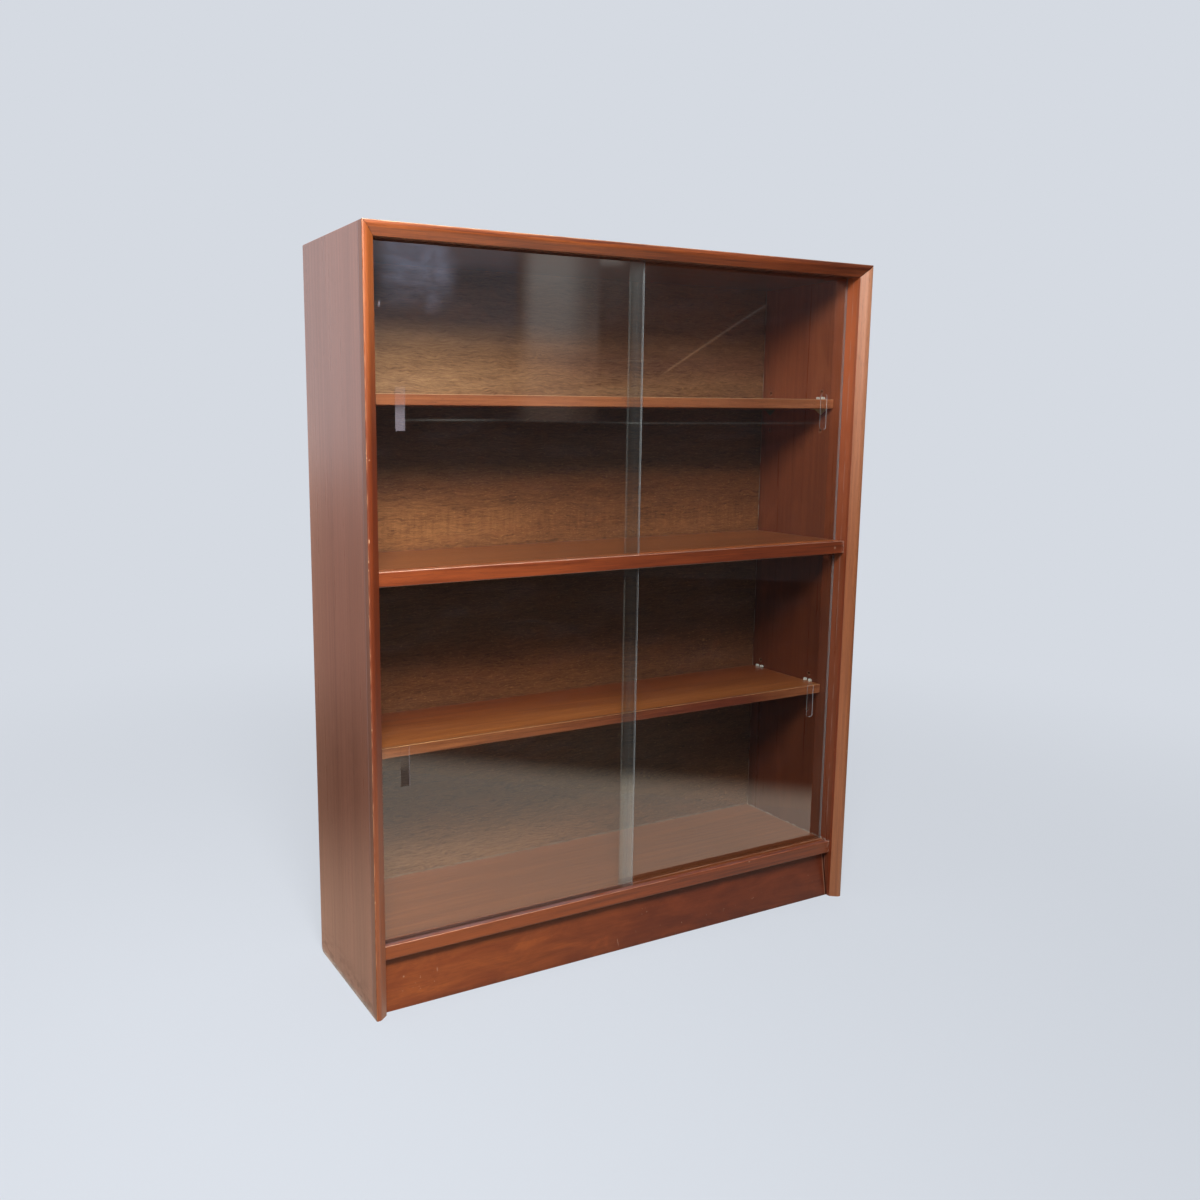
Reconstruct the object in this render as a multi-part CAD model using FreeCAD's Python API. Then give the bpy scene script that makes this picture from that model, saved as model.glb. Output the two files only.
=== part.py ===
import FreeCAD, Part
import math
import os

# A low bookcase in veneered board, glazed with two pairs of sliding panes: one pair above the fixed
# middle shelf and one below it. In each pair the left pane runs in the front groove and the right
# pane in the rear groove. Behind each pair an adjustable shelf rests on four pegged metal supports.
#
# Millimetres. The origin is the middle of the footprint at floor level. +X is to the right of someone
# facing the doors, +Y goes back to the wall and +Z goes up.

Vector = FreeCAD.Vector

# Overall size
WIDTH = 914.0
DEPTH = 246.0
HEIGHT = 1123.0

# Sides and top: boards mitred at the top corners, with a bevelled lipping glued along their front
BOARD = 19.0
LIPPING = 16.0
FACE_FLAT = 6.5
FACE_ROUND = 11.0
BEVEL_DEPTH = 10.0
FRONT_ARRIS = 2.0
INNER_ARRIS = 0.8
OUTER_ARRIS = 1.2
REAR_ROUND = 3.0
HEEL_ROUND = 9.0

# Fixed middle shelf and bottom board, both with a flat front lipping that stands before the glass
FIXED_BOARD = 21.5
FIXED_SETBACK = 17.0
FIXED_LIPPING = 8.0
FIXED_ARRIS = 1.5
MIDDLE_TOP = 657.0
BOTTOM_TOP = 103.5

# Plinth board, which leans back under the bottom board
PLINTH_BOARD = 16.0
PLINTH_LEAN = 14.0
PLINTH_ARRIS = 0.8
BLOCK_LENGTH = 60.0
BLOCK_LEG = 28.0
BLOCK_COUNT = 4
BLOCK_INSET = 70.0

# Plywood back, let into a rebate and pinned
BACK_PANEL = 4.0
REBATE = 8.0
REBATE_GAP = 0.3
PIN_RADIUS = 0.8
PIN_LENGTH = 16.0
PIN_HEAD_RADIUS = 1.8
PIN_HEAD = 0.8
PIN_GAP = 0.05
PIN_INSET = 35.0
PINS_UP_SIDE = 7
PINS_ACROSS = 5

# Grooves for the panes: shallow below, and deep above, so that a pane can be lifted up and out
GLASS = 4.0
TRACK_SETBACK = 27.5
TRACK_WIDTH = 5.0
TRACK_RIB = 5.0
TRACK_SHALLOW = 3.0
TRACK_DEEP = 9.0
PANE_FLOOR_GAP = 0.2
PANE_SIDE_GAP = 0.4
PANE_LIFT_GAP = 1.5
PANE_OVERLAP = 19.5
PANE_ARRIS = 0.4

# Finger pull ground into the front of each pane, near its outer edge
PULL_WIDTH = 14.0
PULL_HEIGHT = 60.0
PULL_ROUND = 5.0
PULL_DEPTH = 1.0
PULL_INSET = 35.0

# Adjustable shelves
SHELF = 16.0
SHELF_SETBACK = 57.0
SHELF_LIPPING = 6.0
SHELF_ARRIS = 1.2
SHELF_END_GAP = 1.5
SHELF_BACK_GAP = 2.0

# Peg holes in the sides: in each compartment a row near the front and one near the back, each
# measured from its own end
HOLE_FRONT = 88.0
HOLE_REAR = 27.0
HOLE_PITCH = 34.0
HOLES_IN_ROW = 3
HOLE_RAISE = 1.2
HOLE_DEPTH = 10.0

# Shelf supports, bent from metal strip around a peg
PEG_RADIUS = 2.5
PEG_GAP = 0.1
PEG_LENGTH = 9.0
PEG_DROP = 4.3
STRIP = 1.0
TAB_WIDTH = 28.0
TAB_REACH = 14.0
TAB_ROUND = 4.0
SHIELD_HEIGHT = 11.0
SHIELD_ROUND = 3.0
LUG_WIDTH = 5.0
LUG_SPACING = 12.0
CURL_RADIUS = 2.2
CURL_GAP = 0.2

# Hidden joinery
DOWEL_RADIUS = 4.0
DOWEL_LENGTH = 30.0
DOWEL_IN_SIDE = 12.0
DOWEL_GAP = 0.5
DOWEL_GLUE = 0.1
DOWEL_INSET = 35.0
TONGUE = 4.0
TONGUE_WIDTH = 16.0
TONGUE_STOP = 22.0
TONGUE_INWARD = 6.0
TONGUE_GLUE = 0.1

# Places that the sizes above settle
HALF = WIDTH / 2
INNER = HALF - BOARD
FRONT = -DEPTH / 2
BACK = DEPTH / 2
TOP_UNDER = HEIGHT - BOARD
PANEL_FRONT = FRONT + LIPPING
BACK_FACE = BACK - BACK_PANEL
FIXED_FRONT = FRONT + FIXED_SETBACK
FIXED_BODY = FIXED_FRONT + FIXED_LIPPING
MIDDLE_UNDER = MIDDLE_TOP - FIXED_BOARD
BOTTOM_UNDER = BOTTOM_TOP - FIXED_BOARD
SHELF_FRONT = FRONT + SHELF_SETBACK
FRONT_TRACK = FRONT + TRACK_SETBACK
REAR_TRACK = FRONT_TRACK + TRACK_WIDTH + TRACK_RIB
TRACK_BACK = REAR_TRACK + TRACK_WIDTH
PANE_WIDTH = INNER - PANE_SIDE_GAP + PANE_OVERLAP / 2
FRONT_ROW = FRONT + HOLE_FRONT
REAR_ROW = BACK - HOLE_REAR
UPPER_ROOM = (MIDDLE_TOP, TOP_UNDER)
LOWER_ROOM = (BOTTOM_TOP, MIDDLE_UNDER)

# How far a cutter runs past the face that it opens
PAST = 1.0


def rounded_corner(before, corner, after, radius):
    """Tangent points and middle of the arc that rounds one corner of an outline."""
    to_before = (before - corner).normalize()
    to_after = (after - corner).normalize()
    half_angle = to_before.getAngle(to_after) / 2
    reach = min((before - corner).Length, (after - corner).Length) / 2
    tangent = min(radius / math.tan(half_angle), reach)
    radius = tangent * math.tan(half_angle)
    bisector = (to_before + to_after).normalize()
    middle = corner + bisector * (radius / math.sin(half_angle) - radius)
    return corner + to_before * tangent, middle, corner + to_after * tangent


def prism(outline, axis, start, end):
    """Solid with a straight-sided outline of (u, v, radius) corners, along one axis.

    The outline lies in YZ for axis x, in XZ for axis y and in XY for axis z.
    """
    place = {"x": lambda u, v: Vector(start, u, v),
             "y": lambda u, v: Vector(u, start, v),
             "z": lambda u, v: Vector(u, v, start)}[axis]
    along = {"x": Vector(1, 0, 0), "y": Vector(0, 1, 0), "z": Vector(0, 0, 1)}[axis]
    corners = [place(u, v) for u, v, radius in outline]
    pieces = []
    ends = []
    for index, corner in enumerate(corners):
        radius = outline[index][2]
        if radius > 0:
            following = corners[(index + 1) % len(corners)]
            first, middle, last = rounded_corner(corners[index - 1], corner, following, radius)
            pieces.append(Part.Arc(first, middle, last).toShape())
            ends.append((first, last))
        else:
            ends.append((corner, corner))
    for index, (first, last) in enumerate(ends):
        following = ends[(index + 1) % len(ends)][0]
        if last.distanceToPoint(following) > Part.Precision.confusion():
            pieces.append(Part.makeLine(last, following))
    wire = Part.Wire(Part.__sortEdges__(pieces))
    return Part.Face(wire).extrude(along * (end - start))


def block(x, y, z):
    """Box between the two ends given for each axis."""
    size = [abs(pair[1] - pair[0]) for pair in (x, y, z)]
    return Part.makeBox(*size, Vector(min(x), min(y), min(z)))


def rod(radius, start, end):
    """Round bar between two points."""
    return Part.makeCylinder(radius, (end - start).Length, start, end - start)


def mirrored(shape):
    """The same piece on the other side of the bookcase."""
    return shape.mirror(Vector(0, 0, 0), Vector(1, 0, 0))


def spread(first, last, count):
    """Evenly spaced places from first to last."""
    return [first + (last - first) * index / (count - 1) for index in range(count)]


def envelope():
    """Outer shape of the carcass, with its small roundings along the top and the back."""
    across = [(-HALF, 0, 0), (HALF, 0, 0), (HALF, HEIGHT, OUTER_ARRIS), (-HALF, HEIGHT, OUTER_ARRIS)]
    along = [(FRONT, 0, 0), (BACK, 0, HEEL_ROUND), (BACK, HEIGHT, REAR_ROUND), (FRONT, HEIGHT, 0)]
    return prism(across, "y", FRONT, BACK).common(prism(along, "x", -HALF, HALF))


def left_side_region(front, back):
    """Room of the left side board, which the mitre ends at the top."""
    outline = [(-HALF, 0, 0), (-INNER, 0, 0), (-INNER, TOP_UNDER, 0), (-HALF, HEIGHT, 0)]
    return prism(outline, "y", front, back)


def top_region(front, back):
    """Room of the top board, between its two mitres."""
    outline = [(-INNER, TOP_UNDER, 0), (INNER, TOP_UNDER, 0), (HALF, HEIGHT, 0), (-HALF, HEIGHT, 0)]
    return prism(outline, "y", front, back)


def back_recess():
    """Rebate that takes the plywood back, around the sides and the top."""
    reach = INNER + REBATE
    return block((-reach, reach), (BACK_FACE, BACK + PAST), (BOTTOM_UNDER, TOP_UNDER + REBATE))


def tongue(glue):
    """Plywood tongue across the left mitre, set towards the inside of the corner."""
    middle = Vector((-HALF - INNER) / 2, 0, (HEIGHT + TOP_UNDER) / 2)
    inward = Vector(1, 0, -1).normalize()
    middle = middle + inward * (TONGUE_INWARD / 2)
    across = Vector(1, 0, 1).normalize()
    half_thickness = TONGUE / 2 + glue
    half_width = TONGUE_WIDTH / 2 + glue
    corners = []
    for side, end in ((1, 1), (1, -1), (-1, -1), (-1, 1)):
        corner = middle + inward * (side * half_thickness) + across * (end * half_width)
        corners.append((corner.x, corner.z, 0))
    return prism(corners, "y", TRACK_BACK + TONGUE_STOP - glue, BACK_FACE - TONGUE_STOP + glue)


def mitre_tongues():
    left = tongue(0)
    return Part.makeCompound([left, mirrored(left)])


def dowel_places():
    """Where the dowels stand: depth and height, for the bottom board and the middle shelf."""
    depths = spread(FIXED_BODY + DOWEL_INSET, BACK_FACE - DOWEL_INSET, 3)
    heights = (BOTTOM_TOP - FIXED_BOARD / 2, MIDDLE_TOP - FIXED_BOARD / 2)
    return [(y, z) for z in heights for y in depths]


def left_dowels(radius, spare):
    """Rods across the joint of the left side, each spare longer at both ends."""
    outer = -INNER - DOWEL_IN_SIDE + DOWEL_GAP - spare
    length = DOWEL_LENGTH + 2 * spare
    rods = []
    for y, z in dowel_places():
        rods.append(rod(radius, Vector(outer, y, z), Vector(outer + length, y, z)))
    return rods


def dowel_holes():
    left = left_dowels(DOWEL_RADIUS, DOWEL_GAP)
    return left + [mirrored(hole) for hole in left]


def carcass_dowels():
    left = left_dowels(DOWEL_RADIUS - DOWEL_GLUE, 0)
    return Part.makeCompound(left + [mirrored(dowel) for dowel in left])


def hole_row_middle(room):
    """Height of the middle peg hole of a compartment."""
    return (room[0] + room[1]) / 2 + HOLE_RAISE


def shelf_under(room):
    """Height at which an adjustable shelf rests on its supports."""
    return hole_row_middle(room) + PEG_DROP


def left_peg_holes():
    """Holes for the support pegs in the left side."""
    holes = []
    for room in (UPPER_ROOM, LOWER_ROOM):
        middle = hole_row_middle(room)
        reach = HOLE_PITCH * (HOLES_IN_ROW - 1) / 2
        for height in spread(middle - reach, middle + reach, HOLES_IN_ROW):
            for row in (FRONT_ROW, REAR_ROW):
                mouth = Vector(-INNER + PAST, row, height)
                end = Vector(-INNER - HOLE_DEPTH, row, height)
                holes.append(rod(PEG_RADIUS + PEG_GAP, mouth, end))
    return holes


def pin_places():
    """Where the pins of the back stand: up both sides, and along the top and the fixed boards."""
    places = []
    for x in (-INNER - REBATE / 2, INNER + REBATE / 2):
        for z in spread(BOTTOM_UNDER + PIN_INSET, TOP_UNDER - PIN_INSET, PINS_UP_SIDE):
            places.append((x, z))
    rows = (BOTTOM_TOP - FIXED_BOARD / 2, MIDDLE_TOP - FIXED_BOARD / 2, TOP_UNDER + REBATE / 2)
    for z in rows:
        for x in spread(-INNER + PIN_INSET, INNER - PIN_INSET, PINS_ACROSS):
            places.append((x, z))
    return places


def pins(gap):
    """Panel pins with flat heads flush with the back, or their holes when a gap is given."""
    shapes = []
    for x, z in pin_places():
        outside = Vector(x, BACK + (PAST if gap else 0), z)
        head_end = Vector(x, BACK - PIN_HEAD - gap, z)
        point = Vector(x, BACK - PIN_LENGTH - gap, z)
        head = rod(PIN_HEAD_RADIUS + gap, outside, head_end)
        shapes.append(head.fuse(rod(PIN_RADIUS + gap, head_end, point)))
    return shapes


def back_panel_pins():
    return Part.makeCompound(pins(0))


def left_side_panel():
    board = left_side_region(PANEL_FRONT, BACK).common(envelope())
    cutters = [back_recess(), tongue(TONGUE_GLUE)]
    cutters += left_dowels(DOWEL_RADIUS, DOWEL_GAP) + left_peg_holes() + pins(PIN_GAP)
    return board.cut(cutters)


def right_side_panel():
    return mirrored(left_side_panel())


def left_front_lipping():
    """Solid lipping whose face is square outside, then rounds over into a bevel to the glass."""
    outline = [(-HALF, FRONT, FRONT_ARRIS),
               (-HALF + FACE_FLAT, FRONT, FACE_ROUND),
               (-INNER, FRONT + BEVEL_DEPTH, INNER_ARRIS),
               (-INNER, PANEL_FRONT, 0),
               (-HALF, PANEL_FRONT, 0)]
    moulding = prism(outline, "z", 0, HEIGHT)
    return moulding.common(left_side_region(FRONT, PANEL_FRONT)).common(envelope())


def right_front_lipping():
    return mirrored(left_front_lipping())


def top_front_lipping():
    outline = [(FRONT, HEIGHT, FRONT_ARRIS),
               (FRONT, HEIGHT - FACE_FLAT, FACE_ROUND),
               (FRONT + BEVEL_DEPTH, TOP_UNDER, INNER_ARRIS),
               (PANEL_FRONT, TOP_UNDER, 0),
               (PANEL_FRONT, HEIGHT, 0)]
    moulding = prism(outline, "x", -HALF, HALF)
    return moulding.common(top_region(FRONT, PANEL_FRONT)).common(envelope())


def tracks(level, depth, reach):
    """The two grooves of a pair of panes, cut from a level by a signed depth."""
    opening = level - math.copysign(PAST, depth)
    grooves = []
    for front in (FRONT_TRACK, REAR_TRACK):
        grooves.append(block((-reach, reach), (front, front + TRACK_WIDTH), (opening, level + depth)))
    return grooves


def top_panel():
    board = top_region(PANEL_FRONT, BACK).common(envelope())
    cutters = [back_recess(), tongue(TONGUE_GLUE), mirrored(tongue(TONGUE_GLUE))]
    cutters += tracks(TOP_UNDER, TRACK_DEEP, INNER) + pins(PIN_GAP)
    return board.cut(cutters)


def fixed_board(top):
    """Board between the sides, from behind its lipping to the plywood back."""
    return block((-INNER, INNER), (FIXED_BODY, BACK_FACE), (top - FIXED_BOARD, top))


def fixed_lipping(top):
    """Flat lipping in front of a fixed board, with its long edges eased."""
    under = top - FIXED_BOARD
    outline = [(FIXED_FRONT, under, FIXED_ARRIS),
               (FIXED_BODY, under, 0),
               (FIXED_BODY, top, 0),
               (FIXED_FRONT, top, FIXED_ARRIS)]
    return prism(outline, "x", -INNER, INNER)


def middle_shelf():
    cutters = dowel_holes() + pins(PIN_GAP) + tracks(MIDDLE_TOP, -TRACK_SHALLOW, INNER + PAST)
    cutters += tracks(MIDDLE_UNDER, TRACK_DEEP, INNER + PAST)
    return fixed_board(MIDDLE_TOP).cut(cutters)


def bottom_board():
    cutters = dowel_holes() + pins(PIN_GAP) + tracks(BOTTOM_TOP, -TRACK_SHALLOW, INNER + PAST)
    return fixed_board(BOTTOM_TOP).cut(cutters)


def plinth_front(height):
    """Front of the leaning plinth board at a height above the floor."""
    return FIXED_FRONT + PLINTH_LEAN * height / BOTTOM_UNDER


def plinth_board():
    outline = [(plinth_front(0), 0, PLINTH_ARRIS),
               (plinth_front(0) + PLINTH_BOARD, 0, 0),
               (plinth_front(BOTTOM_UNDER) + PLINTH_BOARD, BOTTOM_UNDER, 0),
               (plinth_front(BOTTOM_UNDER), BOTTOM_UNDER, 0)]
    return prism(outline, "x", -INNER, INNER)


def plinth_glue_blocks():
    """Three-cornered blocks in the angle behind the plinth board."""
    low = BOTTOM_UNDER - BLOCK_LEG
    corner = plinth_front(BOTTOM_UNDER) + PLINTH_BOARD
    outline = [(plinth_front(low) + PLINTH_BOARD, low, 0),
               (corner + BLOCK_LEG, BOTTOM_UNDER, 0),
               (corner, BOTTOM_UNDER, 0)]
    reach = INNER - BLOCK_INSET
    blocks = []
    for middle in spread(-reach, reach, BLOCK_COUNT):
        blocks.append(prism(outline, "x", middle - BLOCK_LENGTH / 2, middle + BLOCK_LENGTH / 2))
    return Part.makeCompound(blocks)


def back_panel():
    reach = INNER + REBATE - REBATE_GAP
    top = TOP_UNDER + REBATE - REBATE_GAP
    return block((-reach, reach), (BACK_FACE, BACK), (BOTTOM_UNDER, top)).cut(pins(PIN_GAP))


def adjustable_shelf(room):
    reach = INNER - SHELF_END_GAP
    under = shelf_under(room)
    body = (SHELF_FRONT + SHELF_LIPPING, BACK_FACE - SHELF_BACK_GAP)
    return block((-reach, reach), body, (under, under + SHELF))


def adjustable_lipping(room):
    reach = INNER - SHELF_END_GAP
    under = shelf_under(room)
    outline = [(SHELF_FRONT, under, SHELF_ARRIS),
               (SHELF_FRONT + SHELF_LIPPING, under, 0),
               (SHELF_FRONT + SHELF_LIPPING, under + SHELF, 0),
               (SHELF_FRONT, under + SHELF, SHELF_ARRIS)]
    return prism(outline, "x", -reach, reach)


def glass_pane(room, track):
    """Left-hand pane at its closed place in a groove, with eased edges and a finger pull."""
    left = -INNER + PANE_SIDE_GAP
    front = track + (TRACK_WIDTH - GLASS) / 2
    low = room[0] - TRACK_SHALLOW + PANE_FLOOR_GAP
    high = room[1] + TRACK_DEEP - TRACK_SHALLOW - PANE_LIFT_GAP
    sheet = block((left, left + PANE_WIDTH), (front, front + GLASS), (low, high))
    rim = [edge for edge in sheet.Edges if abs(edge.tangentAt(edge.FirstParameter).y) < PANE_ARRIS]
    pull_left = left + PULL_INSET
    pull_right = pull_left + PULL_WIDTH
    middle = (room[0] + room[1]) / 2
    pull = [(pull_left, middle - PULL_HEIGHT / 2, PULL_ROUND),
            (pull_right, middle - PULL_HEIGHT / 2, PULL_ROUND),
            (pull_right, middle + PULL_HEIGHT / 2, PULL_ROUND),
            (pull_left, middle + PULL_HEIGHT / 2, PULL_ROUND)]
    return sheet.makeChamfer(PANE_ARRIS, rim).cut(prism(pull, "y", front - PAST, front + PULL_DEPTH))


def left_shelf_support(room, middle):
    """Support on the left side: peg, shield on the side, tab under the shelf and two curled lugs."""
    under = shelf_under(room)
    face = -INNER
    half_tab = TAB_WIDTH / 2
    peg_height = hole_row_middle(room)
    shield = prism([(middle - half_tab, under - STRIP, 0),
                    (middle, under - SHIELD_HEIGHT, SHIELD_ROUND),
                    (middle + half_tab, under - STRIP, 0),
                    (middle + half_tab, under, 0),
                    (middle - half_tab, under, 0)], "x", face, face + STRIP)
    tab = prism([(face, middle - half_tab, 0),
                 (face + TAB_REACH, middle - half_tab, TAB_ROUND),
                 (face + TAB_REACH, middle + half_tab, TAB_ROUND),
                 (face, middle + half_tab, 0)], "z", under - STRIP, under)
    peg = rod(PEG_RADIUS, Vector(face + STRIP, middle, peg_height),
              Vector(face - PEG_LENGTH, middle, peg_height))
    support = shield.fuse([tab, peg])
    for place in (middle - LUG_SPACING / 2, middle + LUG_SPACING / 2):
        support = support.fuse(curled_lug(place, under))
    return support.removeSplitter()


def curled_lug(middle, under):
    """Strip up the end of the shelf, curled over like a hairpin above the shelf's top."""
    start = middle - LUG_WIDTH / 2
    face = -INNER
    shelf_top = under + SHELF
    centre = shelf_top + CURL_GAP + CURL_RADIUS
    tip = face + 2 * CURL_RADIUS
    stem = block((face, face + STRIP), (start, start + LUG_WIDTH), (under - STRIP, centre))
    leg = block((tip - STRIP, tip), (start, start + LUG_WIDTH), (shelf_top + CURL_GAP, centre))
    axis_start = Vector(face + CURL_RADIUS, start, centre)
    across = Vector(0, 1, 0)
    ring = Part.makeCylinder(CURL_RADIUS, LUG_WIDTH, axis_start, across)
    ring = ring.cut(Part.makeCylinder(CURL_RADIUS - STRIP, LUG_WIDTH, axis_start, across))
    upper_half = block((face, tip), (start, start + LUG_WIDTH), (centre, centre + CURL_RADIUS))
    return stem.fuse([leg, ring.common(upper_half)])


def build():
    """Every sub-part under its node's name."""
    parts = {"left_side_panel": left_side_panel(),
             "right_side_panel": right_side_panel(),
             "top_panel": top_panel(),
             "left_front_lipping": left_front_lipping(),
             "right_front_lipping": right_front_lipping(),
             "top_front_lipping": top_front_lipping(),
             "mitre_tongues": mitre_tongues(),
             "bottom_board": bottom_board(),
             "bottom_board_lipping": fixed_lipping(BOTTOM_TOP),
             "middle_shelf": middle_shelf(),
             "middle_shelf_lipping": fixed_lipping(MIDDLE_TOP),
             "carcass_dowels": carcass_dowels(),
             "plinth_board": plinth_board(),
             "plinth_glue_blocks": plinth_glue_blocks(),
             "back_panel": back_panel(),
             "back_panel_pins": back_panel_pins()}
    for level, room in (("upper", UPPER_ROOM), ("lower", LOWER_ROOM)):
        parts[level + "_adjustable_shelf"] = adjustable_shelf(room)
        parts[level + "_shelf_lipping"] = adjustable_lipping(room)
        parts[level + "_left_glass_pane"] = glass_pane(room, FRONT_TRACK)
        parts[level + "_right_glass_pane"] = mirrored(glass_pane(room, REAR_TRACK))
        for place, row in (("front", FRONT_ROW), ("rear", REAR_ROW)):
            support = left_shelf_support(room, row)
            parts[level + "_left_" + place + "_support"] = support
            parts[level + "_right_" + place + "_support"] = mirrored(support)
    return parts


os.makedirs("parts", exist_ok=True)
for name, shape in build().items():
    shape.exportStep("parts/" + name + ".step")
    print(name, "solids", len(shape.Solids), "volume", round(shape.Volume), "valid", shape.isValid())
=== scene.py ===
import math

import bmesh
import bpy
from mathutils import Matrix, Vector


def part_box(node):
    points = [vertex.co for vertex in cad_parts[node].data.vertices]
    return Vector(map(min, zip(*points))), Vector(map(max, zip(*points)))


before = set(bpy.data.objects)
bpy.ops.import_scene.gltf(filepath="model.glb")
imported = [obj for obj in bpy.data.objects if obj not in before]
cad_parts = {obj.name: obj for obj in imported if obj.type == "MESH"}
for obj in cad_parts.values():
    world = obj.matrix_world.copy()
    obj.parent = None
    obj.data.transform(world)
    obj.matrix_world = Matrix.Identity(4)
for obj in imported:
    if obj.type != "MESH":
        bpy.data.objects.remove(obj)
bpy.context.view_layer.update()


# Side boards and top board. Chipboard faced with straight-grained reddish brown veneer and lacquered
# to a satin finish. The grain runs up the sides and along the top. The outside is painted lighter lower
# down and towards the back, as painted light.

MM = 0.001
# Places in the materials are in millimetres, from the middle of the bookcase at floor level.
HALF_WIDTH = 457
HALF_INSIDE = 438
HALF_DEPTH = 123
HEIGHT = 1123
BACK_FACE = 119
BOTTOM_TOP = 103.5
LOW_HOLE, HIGH_HOLE, HOLE_PITCH = 370.7, 881.7, 34
FRONT_ROW, REAR_ROW = -35, 96


class Flow:
    """An output of a shader node. Arithmetic on it adds Math nodes to its tree."""

    def __init__(self, tree, socket=None):
        self.tree = tree
        self.socket = socket

    def add(self, kind, settings=None, values=None, output=0):
        """A new node: its settings are set first, then the numbers or links of its sockets."""
        node = self.tree.nodes.new("ShaderNode" + kind)
        for name, setting in (settings or {}).items():
            setattr(node, name, setting)
        for name, value in (values or {}).items():
            if isinstance(value, Flow):
                self.tree.links.new(value.socket, node.inputs[name])
            else:
                node.inputs[name].default_value = value
        return Flow(self.tree, node.outputs[output])

    def math(self, operation, *values):
        return self.add("Math", {"operation": operation}, dict(enumerate(values)))

    def __add__(self, other):
        return self.math("ADD", self, other)

    def __sub__(self, other):
        return self.math("SUBTRACT", self, other)

    def __rsub__(self, other):
        return self.math("SUBTRACT", other, self)

    def __mul__(self, other):
        return self.math("MULTIPLY", self, other)

    __radd__ = __add__
    __rmul__ = __mul__

    def size(self):
        return self.math("ABSOLUTE", self)

    def root(self):
        return self.math("SQRT", self)

    def least(self, other):
        return self.math("MINIMUM", self, other)

    def most(self, other):
        return self.math("MAXIMUM", self, other)

    def ramp(self, low, high):
        """0 up to low, 1 from high on, and a smooth rise between them; low may be the larger."""
        if low > high:
            return 1 - self.ramp(high, low)
        return self.add("MapRange", {"interpolation_type": "SMOOTHSTEP"},
                        {"Value": self, "From Min": low, "From Max": high})

    def near(self, middle, reach):
        """1 at middle, falling smoothly to 0 at reach from it."""
        return (self - middle).size().ramp(reach, 0)

    def blend(self, first, second, mode="MIX"):
        """First colour where this number is 0, second where it is 1."""
        return self.add("Mix", {"data_type": "RGBA", "blend_type": mode},
                        {0: self, 6: first, 7: second}, 2)

    def cover(self, kind="Material"):
        """Makes this shader the surface of its material, or of its world."""
        node = self.tree.nodes.new("ShaderNodeOutput" + kind)
        self.tree.links.new(self.socket, node.inputs["Surface"])


def paint(red, green, blue):
    """Linear colour from the usual 0 to 255 values."""
    parts = []
    for value in (red, green, blue):
        share = value / 255
        parts.append(share / 12.92 if share <= 0.04045 else ((share + 0.055) / 1.055) ** 2.4)
    return (*parts, 1.0)


def start_finish(name):
    """An empty material, and the place on the piece: as a vector, and as x, y and z in millimetres."""
    material = bpy.data.materials.new(name)
    material.use_nodes = True
    material.node_tree.nodes.clear()
    place = Flow(material.node_tree).add("TexCoord", output=3)
    axes = [place.add("SeparateXYZ", values={0: place}, output=axis) * 1000 for axis in range(3)]
    return material, place, axes


def speckle(place, cell, detail=2.0, roughness=0.5, distortion=0.0):
    """Soft noise from 0 to 1 whose grains have the given size along x, y and z, in millimetres."""
    scale = tuple(1 / (side * MM) for side in cell)
    spot = place.add("VectorMath", {"operation": "MULTIPLY"}, {0: place, 1: scale})
    return spot.add("TexNoise", {}, {"Vector": spot, "Scale": 1.0, "Detail": detail,
                                    "Roughness": roughness, "Distortion": distortion})


def along(axis, length, width):
    """Size of a streak of a length and width whose long side runs along an axis."""
    return tuple(length if name == axis else width for name in "xyz")


def grain(place, axis, dark, light, pore, streaks=(260, 6), strength=1.0, waves=0.2):
    """Colour, streak, fibre and pore pattern of a wood with its grain along an axis."""
    length, width = streaks
    ribbon = speckle(place, along(axis, 3 * length, 8 * width), 2.0, 0.5, 0.3)
    streak = speckle(place, along(axis, length, width), 4.0, 0.6, waves)
    fibre = speckle(place, along(axis, 60, 1.3), 3.0, 0.6)
    pores = speckle(place, along(axis, 14, 0.7), 1.0).ramp(0.6, 0.75)
    tone = 0.5 + strength * ((ribbon - 0.5) * 0.7 + (streak - 0.5) * 1.4 + (fibre - 0.5) * 0.9)
    colour = tone.least(1).most(0).blend(dark, light)
    colour = (pores * 0.5 * min(strength, 1)).blend(colour, pore)
    return colour, streak, fibre, pores


def lacquer(colour, roughness, height, relief, coat=0.0, polish=0.3, shine=0.5):
    """Lacquered surface: colour, gloss, relief in millimetres, clear coat and how much it shines."""
    bump = height.add("Bump", {}, {"Strength": 0.6, "Distance": relief * MM, "Height": height})
    bump.add("BsdfPrincipled", {}, {"Base Color": colour, "Roughness": roughness, "IOR": 1.5,
                                   "Coat Weight": coat, "Coat Roughness": polish,
                                   "Specular IOR Level": shine, "Normal": bump}).cover()


def finish(material, *names):
    """Puts a material on CAD nodes."""
    for name in names:
        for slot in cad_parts[name].material_slots:
            slot.material = material


material, place, (x, y, z) = start_finish("side_veneer")
# The inside is painted lighter towards the top, as painted light from the lamp above.
upper = z.ramp(480, 1000)
colour, streak, fibre, pores = grain(
    place, "z", upper.blend(paint(90, 38, 22), paint(132, 60, 38)),
    upper.blend(paint(132, 68, 42), paint(190, 106, 70)), paint(56, 26, 17), (420, 9), 0.6)
cloud = speckle(place, (70, 70, 150), 3.0, 0.6, 0.6)
darker = upper.blend(paint(74, 30, 18), paint(112, 50, 30))
lighter = upper.blend(paint(140, 74, 46), paint(196, 112, 74))
colour = (cloud.ramp(0.5, 0.7) * 0.3).blend(colour, darker)
colour = (cloud.ramp(0.46, 0.3) * 0.3).blend(colour, lighter)
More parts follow.
